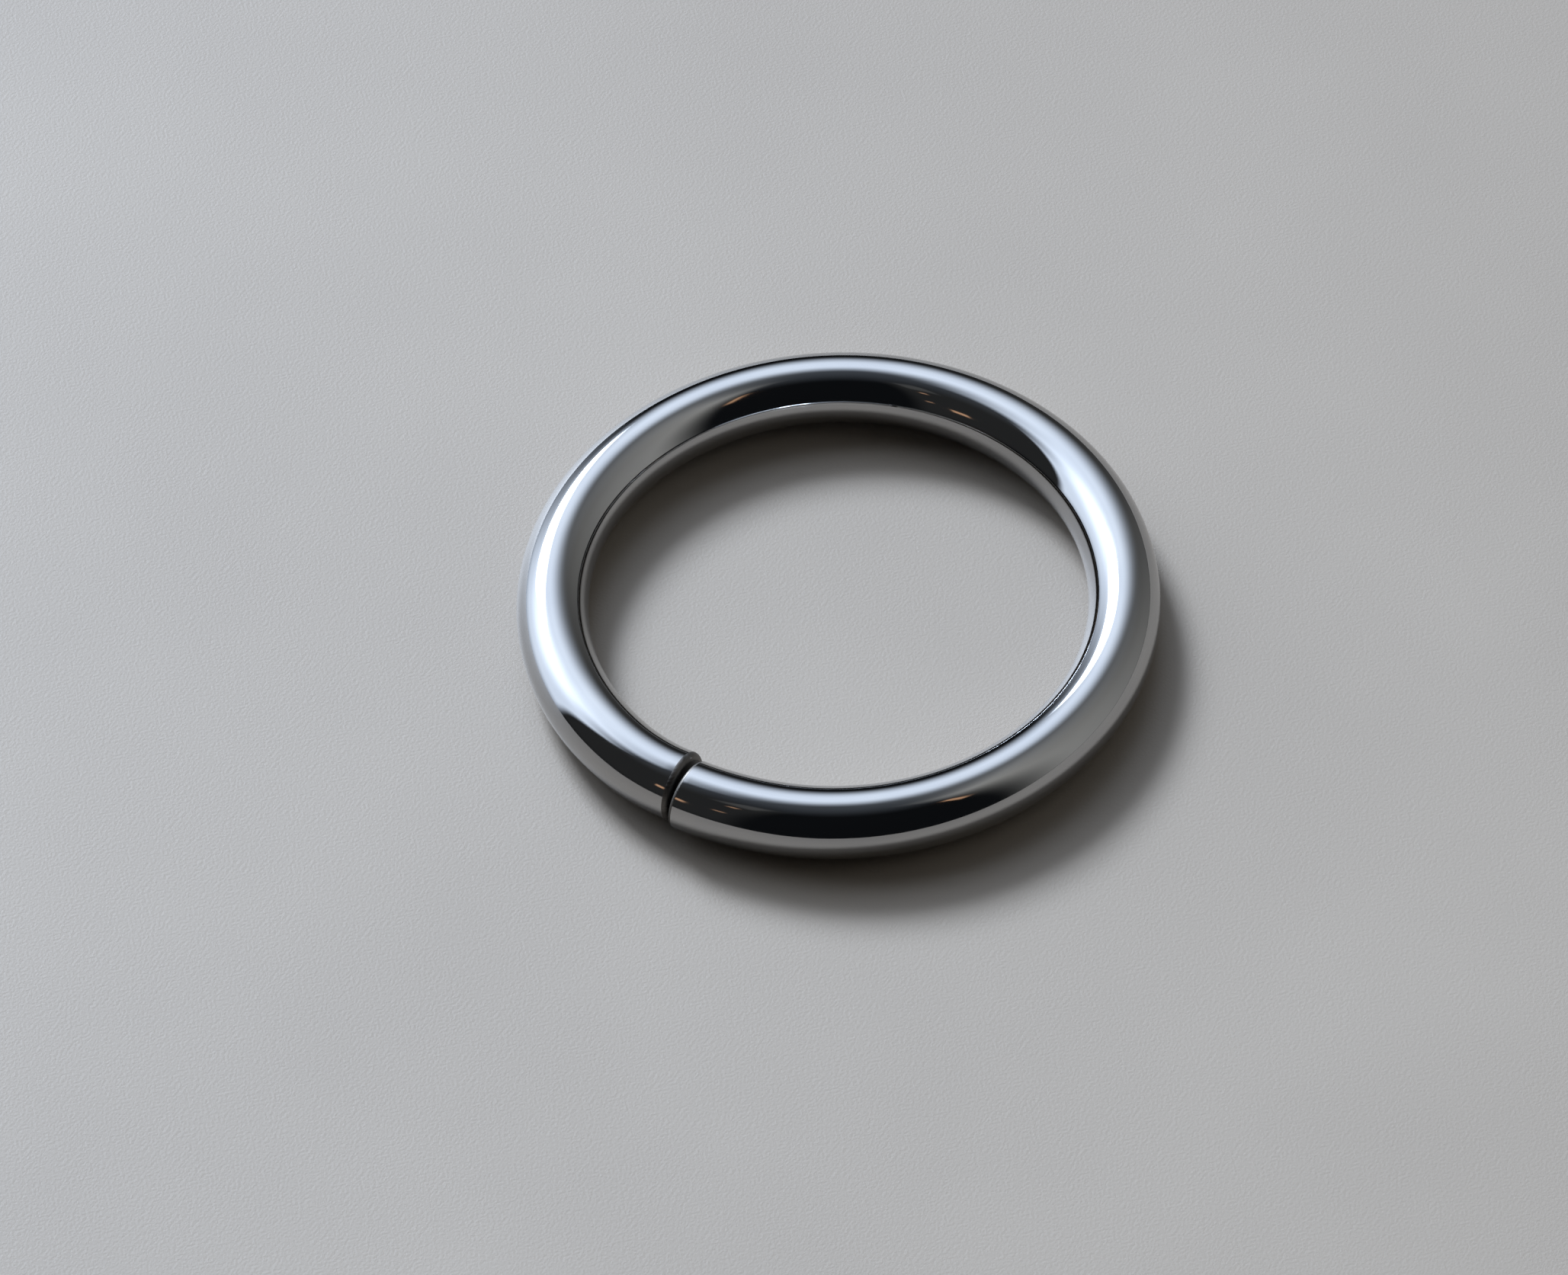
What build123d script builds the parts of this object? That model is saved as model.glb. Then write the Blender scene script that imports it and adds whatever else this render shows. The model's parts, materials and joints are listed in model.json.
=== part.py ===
"""Plain round-wire finger band in polished steel, lying flat, with one open butt seam.

The band is a single length of round wire bent into a circle. Its two ends meet at the seam, at
-Y, with a hair of daylight between them. The model holds the wire as two half bands. They part at
that seam and meet again flush at the back, at +Y, so that the seam can be opened the way the wire
allows: one end lifts past the other while the wire twists about its own line at the back.

Frame: origin under the middle of the band, on the surface that it lies on; +Z up through the
finger opening; -Y towards the seam. Sizes are in millimetres and angles in degrees.
"""

import os
from math import radians, tan

from build123d import *

# --- driving dimensions -----------------------------------------------------------------------

inside_diameter = 18.0  # finger size: ISO 56.5
wire_diameter = 2.6  # 10 gauge wire

# The wire follows a true circle up to its last stretch before the seam. There its left end is
# bent a little tighter and stands slightly inside that circle, and its right end is a little
# straighter and stands slightly outside it.
end_stretch = 16.0  # how far round from the seam the last stretch starts
left_end_bend_radius = 7.5
right_end_bend_radius = 12.7

# The cut faces lean apart, so the gap between them widens upwards and inwards.
seam_gap = 0.18  # between the two cut faces, at the middle of the wire
seam_lean = 1.0

# The sharp rims of the cut faces are broken, the left one more than the right one.
left_rim_rounding = 0.23
right_rim_rounding = 0.13

# --- worked-out sizes -------------------------------------------------------------------------

wire_radius = wire_diameter / 2
bend_radius = inside_diameter / 2 + wire_radius  # of the wire's centre line
end_overrun = 8.0  # how far past the seam each end is swept, before it is cut back
cutter_size = 4 * wire_diameter

LEFT = -1  # the half of the band at -X
RIGHT = 1  # the half of the band at +X


def half_band(side, end_bend_radius, rim_rounding):
    """The wire from the back of the band round one side to its cut end at the seam."""
    with BuildPart() as half:
        with BuildLine(Plane.XY.offset(wire_radius)) as centre_line:
            round_bend = JernArc(
                start=(0, bend_radius),
                tangent=(side, 0),
                radius=bend_radius,
                arc_size=-side * (180 - end_stretch),
            )
            JernArc(
                start=round_bend @ 1,
                tangent=round_bend % 1,
                radius=end_bend_radius,
                arc_size=-side * (end_stretch + end_overrun),
            )
        with BuildSketch(Plane(origin=centre_line.line @ 0, z_dir=(side, 0, 0))):
            Circle(wire_radius)
        sweep()

        # Cut the overrun end back to its leaning seam face.
        lean = tan(radians(seam_lean))
        seam_face = Plane(
            origin=(side * seam_gap / 2, -bend_radius, wire_radius),
            z_dir=(-side, lean, lean),
        )
        with Locations(seam_face):
            Box(
                cutter_size,
                cutter_size,
                cutter_size,
                align=(Align.CENTER, Align.CENTER, Align.MIN),
                mode=Mode.SUBTRACT,
            )
        cut_face = half.faces().filter_by(GeomType.PLANE).sort_by(Axis.Y)[0]
        fillet(cut_face.edges(), rim_rounding)
    return half


band_left_half = half_band(LEFT, left_end_bend_radius, left_rim_rounding)
band_right_half = half_band(RIGHT, right_end_bend_radius, right_rim_rounding)

band_left_half.part.label = "band_left_half"
band_right_half.part.label = "band_right_half"

os.makedirs("parts", exist_ok=True)
export_step(band_left_half.part, "parts/band_left_half.step")
export_step(band_right_half.part, "parts/band_right_half.step")
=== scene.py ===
import json
from math import asin, cos, pi, radians, sin, tan

import bpy
from mathutils import Matrix, Vector


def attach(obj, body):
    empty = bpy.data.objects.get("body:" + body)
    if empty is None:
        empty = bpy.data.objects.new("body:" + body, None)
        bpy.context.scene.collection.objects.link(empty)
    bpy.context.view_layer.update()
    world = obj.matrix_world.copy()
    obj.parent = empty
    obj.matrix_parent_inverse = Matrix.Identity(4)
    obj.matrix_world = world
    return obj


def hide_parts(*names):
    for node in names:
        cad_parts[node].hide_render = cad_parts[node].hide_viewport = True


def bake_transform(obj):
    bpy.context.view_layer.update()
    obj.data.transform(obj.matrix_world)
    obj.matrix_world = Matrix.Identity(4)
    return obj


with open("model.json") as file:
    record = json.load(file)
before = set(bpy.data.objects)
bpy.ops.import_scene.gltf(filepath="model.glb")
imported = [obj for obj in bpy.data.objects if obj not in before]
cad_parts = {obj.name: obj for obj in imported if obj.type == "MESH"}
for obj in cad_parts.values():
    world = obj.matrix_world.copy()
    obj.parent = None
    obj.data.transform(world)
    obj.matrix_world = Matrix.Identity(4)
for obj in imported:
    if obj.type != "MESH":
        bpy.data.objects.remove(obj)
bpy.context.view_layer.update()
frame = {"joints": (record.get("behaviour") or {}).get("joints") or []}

# The band is one length of round wire, bent into a circle, with an open butt seam at -Y. It is
# made as three pieces: a left and a right arm, which ride on the two halves of the imported model,
# and the back bend between them, which is attached to neither half.

MM = 0.001

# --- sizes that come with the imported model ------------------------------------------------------

twist = frame["joints"][0]
BEND_RADIUS = twist["pos_m"][1]  # of the wire's centre line
WIRE_RADIUS = twist["pos_m"][2]

# --- the two ends, as in the CAD ----------------------------------------------------------------

LEFT, RIGHT = -1, 1
END_STRETCH = radians(16.0)  # how far round from the seam the last stretch starts
END_BEND_RADIUS = {LEFT: 7.5 * MM, RIGHT: 12.7 * MM}
RIM_ROUNDING = {LEFT: 0.23 * MM, RIGHT: 0.13 * MM}
SEAM_GAP = 0.18 * MM
SEAM_LEAN = tan(radians(1.0))

# --- how finely the wire is divided -------------------------------------------------------------

BACK_REACH = radians(60.0)  # how far the back bend reaches, each way from the back
STEP = radians(0.5)  # along the wire
HAIRLINE = radians(0.01)  # the last strip at a border between pieces, so that no line shows
AROUND = 96  # points round the wire
RIM_STEPS = 10
RIM_CLEARANCE = 3  # how many rim roundings before the cut face the wire's last plain ring lies
FACE_RINGS = (0.93, 0.8, 0.62, 0.42, 0.2)  # parts of the cut face's radius
PLANE_TRIES = 6  # steps taken to bring a point on to the plane of a cut face

# A hand-bent circle is never quite true: it waves in and out a little, each side in its own way.
HAND_WAVE = 0.008 * MM
WAVE_COUNT = 5
WAVE_SHIFT = 0.9

# --- the wire's line ----------------------------------------------------------------------------

UP = Vector((0.0, 0.0, 1.0))


def on_circle(turn, side, radius, centre):
    """A point and heading on an arc: turn is the heading's angle from the back, round one side."""
    point = centre + Vector((side * sin(turn), cos(turn), 0.0)) * radius
    return point, Vector((side * cos(turn), -sin(turn), 0.0))


def wire_line(turn, side):
    """Centre point and heading of the wire, turn radians round from the back on one side."""
    wave = HAND_WAVE * sin(WAVE_COUNT * turn + side * WAVE_SHIFT) * sin(turn) ** 2
    lift = UP * WIRE_RADIUS
    stretch_start = pi - END_STRETCH
    if turn <= stretch_start:
        return on_circle(turn, side, BEND_RADIUS + wave, lift)
    stretch_point, _ = on_circle(stretch_start, side, BEND_RADIUS, lift)
    end_radius = END_BEND_RADIUS[side]
    outward = Vector((side * sin(stretch_start), cos(stretch_start), 0.0))
    return on_circle(turn, side, end_radius + wave, stretch_point - outward * end_radius)


def length_along(turn, side):
    """Length of wire from the back, in millimetres, for the finish's pattern."""
    on_bend = min(turn, pi - END_STRETCH) * BEND_RADIUS
    on_stretch = max(0.0, turn - pi + END_STRETCH) * END_BEND_RADIUS[side]
    return side * (on_bend + on_stretch) / MM


def cut_turn(side):
    """How far round from the back the wire's line comes to the middle of the seam."""
    offset = (END_BEND_RADIUS[side] - BEND_RADIUS) * sin(END_STRETCH)
    return pi - asin(offset / END_BEND_RADIUS[side])


def point_round(turn, side, around, radius):
    """A point at one angle round the wire's line, and the line's heading there."""
    centre, heading = wire_line(turn, side)
    outward = UP.cross(heading) * side
    return centre + (outward * cos(around) + UP * sin(around)) * radius, heading


def ring_at(turn, side):
    """The points round the wire at one place along it."""
    angles = [2 * pi * k / AROUND for k in range(AROUND)]
    return [point_round(turn, side, around, WIRE_RADIUS)[0] for around in angles]


def end_ring(side, radius, depth):
    """Points of one radius about the wire's line, on a plane depth back from its cut face."""
    normal = Vector((-side, SEAM_LEAN, SEAM_LEAN)).normalized()
    face_point = Vector((side * SEAM_GAP / 2, -BEND_RADIUS, WIRE_RADIUS)) - normal * depth
    ring = []
    for k in range(AROUND):
        turn = cut_turn(side)
        for _ in range(PLANE_TRIES):
            point, heading = point_round(turn, side, 2 * pi * k / AROUND, radius)
            miss = (face_point - point).dot(normal)
            turn += miss / (END_BEND_RADIUS[side] * heading.dot(normal))
        ring.append(point)
    return ring


# --- meshes -------------------------------------------------------------------------------------

POLISHED, FILED_PAINTED_SHADE, SAWN_PAINTED_SHADE = range(3)  # each piece's materials, in this order; the rim's and face's tones carry painted shade


def wire_piece(name, rings, lengths, finishes, tip=None):
    """A tube through rings of points, closed by a tip where one is given.

    lengths has one value per ring, and finishes has the material of the strip that follows it.
    """
    girth = 2 * pi * WIRE_RADIUS / MM
    points = [p for ring in rings for p in ring]
    faces = []
    face_finishes = []
    uvs = []
    for i in range(len(rings) - 1):
        here, there = i * AROUND, (i + 1) * AROUND
        for k in range(AROUND):
            after = (k + 1) % AROUND
            faces.append((here + k, here + after, there + after, there + k))
            face_finishes.append(finishes[i])
            low, high = girth * k / AROUND, girth * (k + 1) / AROUND
            uvs.extend(((lengths[i], low), (lengths[i], high)))
            uvs.extend(((lengths[i + 1], high), (lengths[i + 1], low)))
    if tip is not None:
        last = (len(rings) - 1) * AROUND
        points.append(tip)
        for k in range(AROUND):
            faces.append((last + k, last + (k + 1) % AROUND, len(points) - 1))
            face_finishes.append(finishes[-1])
            uvs.extend([(lengths[-1], 0.0)] * 3)
    mesh = bpy.data.meshes.new(name)
    mesh.from_pydata(points, [], faces)
    layer = mesh.uv_layers.new(name="along_wire_mm")
    layer.data.foreach_set("uv", [c for uv in uvs for c in uv])
    mesh.polygons.foreach_set("use_smooth", [True] * len(faces))
    mesh.polygons.foreach_set("material_index", face_finishes)
    mesh.update()
    piece = bpy.data.objects.new(name, mesh)
    bpy.context.scene.collection.objects.link(piece)
    return piece


def turns_between(start, end):
    """Places along the wire from start to end, with a hairline strip at each border."""
    count = round((end - start) / STEP)
    inner = [start + (end - start) * i / count for i in range(1, count)]
    return [start, start + HAIRLINE] + inner + [end - HAIRLINE, end]


def arm(name, side):
    """The wire from the back bend to its cut end at the seam."""
    cut = cut_turn(side)
    rounding = RIM_ROUNDING[side]
    last_turn = cut - RIM_CLEARANCE * rounding / END_BEND_RADIUS[side]
    turns = turns_between(BACK_REACH, last_turn)[:-2] + [last_turn]  # the rim isn't a border
    rings = [ring_at(t, side) for t in turns]
    lengths = [length_along(t, side) for t in turns]
    finishes = [POLISHED] * len(rings)
    tip_length = length_along(cut, side)
    for i in range(RIM_STEPS + 1):
        over = (pi / 2) * i / RIM_STEPS
        depth = rounding * (1 - sin(over))
        radius = WIRE_RADIUS - rounding * (1 - cos(over))
        rings.append(end_ring(side, radius, depth))
        lengths.append(tip_length - side * depth / MM)
        finishes.append(FILED_PAINTED_SHADE if i < RIM_STEPS else SAWN_PAINTED_SHADE)
    face_radius = WIRE_RADIUS - rounding
    for part in FACE_RINGS:
        rings.append(end_ring(side, face_radius * part, 0.0))
        lengths.append(tip_length + side * (1 - part) * face_radius / MM)
        finishes.append(SAWN_PAINTED_SHADE)
    tip = end_ring(side, 0.0, 0.0)[0]
    piece = wire_piece(name, rings, lengths, finishes, tip)
    if side == LEFT:
        piece.data.flip_normals()  # this side's rings run the other way
    return piece


def back_bend(name):
    """The wire round the back, from the left arm to the right arm."""
    turns = turns_between(0.0, BACK_REACH)[2:]  # the bend's middle isn't a border
    rings = [ring_at(t, LEFT) for t in reversed(turns)]
    lengths = [length_along(t, LEFT) for t in reversed(turns)]
    rings.append(ring_at(0.0, RIGHT))
    lengths.append(0.0)
    rings.extend(ring_at(t, RIGHT) for t in turns)
    lengths.extend(length_along(t, RIGHT) for t in turns)
    return wire_piece(name, rings, lengths, [POLISHED] * len(rings))


left_arm = arm("wire_left_arm", LEFT)
right_arm = arm("wire_right_arm", RIGHT)
bend = back_bend("wire_back_bend")

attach(left_arm, "left_half")
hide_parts("band_left_half")
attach(right_arm, "right_half")
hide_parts("band_right_half")
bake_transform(bend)

# --- materials ----------------------------------------------------------------------------------


class Nodes:
    """Short calls for adding and joining nodes in one tree."""

    def __init__(self, tree):
        self.tree = tree
        tree.nodes.clear()

    def add(self, kind, **values):
        node = self.tree.nodes.new(kind)
        for key, value in values.items():
            setattr(node, key, value)
        return node

    def put(self, node, **inputs):
        """Sets a node's inputs, by name with _ for a space: a socket is linked, a value is set."""
        for key, value in inputs.items():
            socket = node.inputs[key.replace("_", " ")]
            if isinstance(value, bpy.types.NodeSocket):
                self.tree.links.new(value, socket)
            else:
                socket.default_value = value
        return node

    def noise(self, vector, scale, detail=2.0, roughness=0.5):
        node = self.add("ShaderNodeTexNoise")
        self.put(node, Vector=vector, Scale=scale, Detail=detail, Roughness=roughness)
        return node.outputs["Fac"]

    def stretch(self, vector, scale):
        node = self.add("ShaderNodeMapping")
        self.put(node, Vector=vector, Scale=scale)
        return node.outputs["Vector"]

    def ramp(self, fac, stops):
        node = self.add("ShaderNodeValToRGB")
        self.put(node, Fac=fac)
        marks = node.color_ramp.elements
        while len(marks) < len(stops):
            marks.new(0.5)
        for mark, (place, colour) in zip(marks, stops):
            mark.position = place
            mark.color = (*colour, 1.0)
        return node.outputs["Color"]

    def remap(self, value, low, high, to_low, to_high):
        node = self.add("ShaderNodeMapRange", interpolation_type="SMOOTHSTEP")
        self.put(node, Value=value, From_Min=low, From_Max=high, To_Min=to_low, To_Max=to_high)
        return node.outputs["Result"]

    def bump(self, height, strength, distance, normal=None):
        node = self.add("ShaderNodeBump")
        self.put(node, Height=height, Strength=strength, Distance=distance)
        if normal is not None:
            self.put(node, Normal=normal)
        return node.outputs["Normal"]


def new_material(name):
    material = bpy.data.materials.new(name)
    material.use_nodes = True
    nodes = Nodes(material.node_tree)
    out = nodes.add("ShaderNodeOutputMaterial")
    shader = nodes.add("ShaderNodeBsdfPrincipled")
    nodes.put(out, Surface=shader.outputs["BSDF"])
    return material, nodes, shader


def polished_steel():
    """Drawn wire, polished bright: a mirror with haze, faint draw lines and slow waves."""
    material, nodes, shader = new_material("steel_polished")
    wire = nodes.add("ShaderNodeUVMap", uv_map="along_wire_mm").outputs["UV"]

    # Haze in soft patches, and the tone that goes with it.
    patches = nodes.noise(nodes.stretch(wire, (0.25, 0.6, 1.0)), 1.0, 3.0)
    tone = nodes.ramp(patches, ((0.3, (0.46, 0.465, 0.475)), (0.7, (0.505, 0.505, 0.505))))
    haze = nodes.remap(patches, 0.3, 0.75, 0.035, 0.085)

    # Fine draw lines along the wire, over the slow waves that hand polishing leaves.
    draw_lines = nodes.noise(nodes.stretch(wire, (0.6, 22.0, 1.0)), 1.0, 3.0, 0.6)
    slow_waves = nodes.noise(nodes.stretch(wire, (0.35, 0.7, 1.0)), 1.0, 1.0)
    normal = nodes.bump(draw_lines, 0.35, 0.0000006)
    normal = nodes.bump(slow_waves, 0.5, 0.000012, normal)
    nodes.put(shader, Base_Color=tone, Metallic=1.0, Roughness=haze, Normal=normal)
    return material


def cut_steel_painted_shade(name, shaded_dark_tone, shaded_pale_tone, polish, bump):
    """Dull steel with a saw's or a file's fine lines, its tone darkened as painted shade. polish is
    its range of roughness.
    """
    material, nodes, shader = new_material(name)
    place = nodes.add("ShaderNodeTexCoord").outputs["Object"]
    tool_lines = nodes.noise(nodes.stretch(place, (1.0, 2500.0, 26000.0)), 1.0, 2.0)
    # Painted shade: the two tones are kept dark, for ends that sit in the seam gap's shade.
    tone = nodes.ramp(tool_lines, ((0.25, shaded_dark_tone), (0.75, shaded_pale_tone)))
    satin = nodes.remap(tool_lines, 0.3, 0.7, *polish)
    normal = nodes.bump(tool_lines, bump, 0.000004)
    nodes.put(shader, Base_Color=tone, Metallic=1.0, Roughness=satin, Normal=normal)
    return material


def pale_floor():
    """A plain pale matt table top with a slight sheen."""
    material, nodes, shader = new_material("floor_pale")
    place = nodes.add("ShaderNodeTexCoord").outputs["Object"]
    cloud = nodes.noise(place, 60.0, 4.0)
    grain = nodes.noise(place, 9000.0, 3.0)
    tone = nodes.ramp(cloud, ((0.3, (0.342, 0.297, 0.247)), (0.7, (0.37, 0.323, 0.269))))
    normal = nodes.bump(grain, 0.25, 0.00004)
    nodes.put(shader, Base_Color=tone, Roughness=0.5, Normal=normal)
    return material


polished = polished_steel()
# The rim's filed satin finish is real; its dark tone is painted shade of the seam gap, and it dims
# the sky's highlight there.
filed_rim_painted_shade = cut_steel_painted_shade("steel_filed_rim_painted_shade", (0.115, 0.108, 0.1), (0.19, 0.18, 0.17), (0.4, 0.54), 0.6)
# The cut face's near-black tone is painted shade, standing for the shade inside the narrow seam
# gap.
sawn_face_painted_shade = cut_steel_painted_shade("steel_sawn_face_painted_shade", (0.05, 0.049, 0.048), (0.085, 0.084, 0.083), (0.4, 0.5), 0.6)
bend.data.materials.append(polished)
for piece in (left_arm, right_arm):
    for material in (polished, filed_rim_painted_shade, sawn_face_painted_shade):
        piece.data.materials.append(material)

# --- floor --------------------------------------------------------------------------------------

FLOOR_HALF = 2.5  # metres each way from the band
CORNERS = ((-1, -1), (1, -1), (1, 1), (-1, 1))
floor_mesh = bpy.data.meshes.new("floor")
floor_points = [(x * FLOOR_HALF, y * FLOOR_HALF, 0.0) for x, y in CORNERS]
floor_mesh.from_pydata(floor_points, [], [(0, 1, 2, 3)])
floor_mesh.materials.append(pale_floor())
floor = bpy.data.objects.new("floor", floor_mesh)
bpy.context.scene.collection.objects.link(floor)

# --- light --------------------------------------------------------------------------------------

DAYLIGHT = (0.84, 0.95, 1.12)
WALL_TONE = (1.0, 1.0, 0.97)
LAMPLIGHT = (1.0, 0.57, 0.33)
DARK_ROOM = (0.008, 0.15)  # radiance low down and overhead
BACKDROP = (0.55, 0.545, 0.53)  # seen past the floor's edge
BACKDROP_STRENGTH = 0.85

# Bearings are counted clockwise from this one, so that they don't jump inside a window.
BEARING_ZERO = radians(330.0)
# Each row: two bearings and their softness, two elevations and their softness, radiance.
WINDOWS = (
    (-85.0, -35.0, 5.4, 36.5, 0.0, 50.0, 26.0, 25.0, 1.5),  # the nearer window
    (-69.0, 15.0, 28.0, 52.0, 29.0, 68.0, 36.0, 24.0, 1.55),  # the further one
    (-42.0, -20.0, 8.0, 8.0, 29.2, 42.6, 8.0, 8.0, 58.0),  # bright sky in the window
)
WALLS = (
    (60.0, 116.0, 140.0, 29.5, 0.0, 76.0, 4.0, 18.0, 0.42),  # lit by the windows
    (-149.0, -84.0, 10.0, 14.0, 0.0, 70.0, 20.0, 20.0, 0.023),  # in the dark, beyond the lamps
    (-142.0, -126.0, 6.0, 6.0, 61.0, 71.0, 6.0, 6.0, 0.07),  # a paler beam high on that wall
)
LAMPS = (  # small and warm
    (-134.5, -127.5, 2.0, 2.0, 24.5, 29.5, 3.0, 3.0, 0.8),
    (-140.5, -137.0, 1.5, 1.5, 53.5, 56.5, 1.5, 1.5, 0.5),
    (-144.5, -141.5, 1.5, 1.5, 32.5, 35.5, 1.5, 1.5, 0.4),
    (127.0, 131.0, 2.5, 2.5, 53.0, 64.0, 5.0, 5.0, 0.8),
)


def room_light():
    """The room that the steel mirrors: tall soft windows on one side, dark behind the camera."""
    world = bpy.data.worlds.new("room")
    world.use_nodes = True
    nodes = Nodes(world.node_tree)
    out = nodes.add("ShaderNodeOutputWorld")
    ways = nodes.add("ShaderNodeTexCoord").outputs["Generated"]
    split = nodes.add("ShaderNodeSeparateXYZ")
    nodes.put(split, Vector=ways)
    x, y, z = (split.outputs[axis] for axis in "XYZ")

    def combine(operation, a, b=0.0):
        node = nodes.add("ShaderNodeMath", operation=operation)
        for socket, value in zip(node.inputs, (a, b)):
            if isinstance(value, bpy.types.NodeSocket):
                nodes.tree.links.new(value, socket)
            else:
                socket.default_value = value
        return node.outputs["Value"]

    def between(value, low, high, low_soft, high_soft):
        """1 between low and high, fading over a soft width at each edge."""
        rise = nodes.remap(value, low - low_soft / 2, low + low_soft / 2, 0.0, 1.0)
        fall = nodes.remap(value, high - high_soft / 2, high + high_soft / 2, 1.0, 0.0)
        return combine("MULTIPLY", rise, fall)

    def scaled(value, factor):
        return combine("MULTIPLY", value, factor)

    zero_cos, zero_sin = cos(BEARING_ZERO), sin(BEARING_ZERO)
    across = combine("SUBTRACT", scaled(x, zero_cos), scaled(y, zero_sin))
    ahead = combine("ADD", scaled(x, zero_sin), scaled(y, zero_cos))
    bearing = combine("DEGREES", combine("ARCTAN2", across, ahead))
    elevation = combine("DEGREES", combine("ARCSINE", z))

    # The room is almost black, and grows paler overhead, towards bearing 0.
    dark_room = nodes.remap(combine("ADD", scaled(ahead, 0.5), z), 0.7, 1.3, *DARK_ROOM)

    def patch(low, high, low_soft, high_soft, bottom, top, bottom_soft, top_soft, radiance):
        width = between(bearing, low, high, low_soft, high_soft)
        height = between(elevation, bottom, top, bottom_soft, top_soft)
        return scaled(combine("MULTIPLY", width, height), radiance)

    def summed(start, patches):
        total = start
        for values in patches:
            total = combine("ADD", total, patch(*values))
        return total

    def glow(colour, strength):
        node = nodes.add("ShaderNodeBackground")
        nodes.put(node, Color=(*colour, 1.0), Strength=strength)
        return node.outputs["Background"]

    def joined(kind, first, second, *more):
        node = nodes.add(kind)
        for socket, value in zip(node.inputs, (first, second, *more)):
            nodes.tree.links.new(value, socket)
        return node.outputs["Shader"]

    room = glow(DAYLIGHT, summed(dark_room, WINDOWS))
    room = joined("ShaderNodeAddShader", room, glow(WALL_TONE, summed(0.0, WALLS)))
    room = joined("ShaderNodeAddShader", room, glow(LAMPLIGHT, summed(0.0, LAMPS)))
    backdrop = glow(BACKDROP, BACKDROP_STRENGTH)
    seen = nodes.add("ShaderNodeLightPath").outputs["Is Camera Ray"]
    shown = joined("ShaderNodeMixShader", seen, room, backdrop)  # backdrop where the camera looks
    nodes.put(out, Surface=shown)
    bpy.context.scene.world = world


room_light()

# --- camera -------------------------------------------------------------------------------------

CAMERA_AZIMUTH = 33.6  # round from straight in front of the seam
CAMERA_ELEVATION = 49.738
CAMERA_ROLL = -2.565
CAMERA_DISTANCE = 274.42 * MM
BAND_OFF_CENTRE = (1.948 * MM, 1.358 * MM)  # right of and above the middle of the view
LENS = 175.0
SENSOR_WIDTH = 36.0

azimuth = radians(CAMERA_AZIMUTH)
elevation = radians(CAMERA_ELEVATION)
roll = radians(CAMERA_ROLL)
backward = Vector((sin(azimuth) * cos(elevation), -cos(azimuth) * cos(elevation), sin(elevation)))
level_right = Vector((cos(azimuth), sin(azimuth), 0.0))
level_up = backward.cross(level_right)
camera_right = level_right * cos(roll) + level_up * sin(roll)
camera_up = level_up * cos(roll) - level_right * sin(roll)
stand = UP * WIRE_RADIUS + backward * CAMERA_DISTANCE
stand -= camera_right * BAND_OFF_CENTRE[0] + camera_up * BAND_OFF_CENTRE[1]

camera_data = bpy.data.cameras.new("camera")
camera_data.lens = LENS
camera_data.sensor_width = SENSOR_WIDTH
camera_data.clip_start = 1 * MM
camera_data.clip_end = 10.0
camera = bpy.data.objects.new("camera", camera_data)
turned = Matrix((camera_right, camera_up, backward)).transposed().to_4x4()
camera.matrix_world = Matrix.Translation(stand) @ turned
bpy.context.scene.collection.objects.link(camera)
bpy.context.scene.camera = camera
bpy.context.scene.view_settings.view_transform = "Standard"
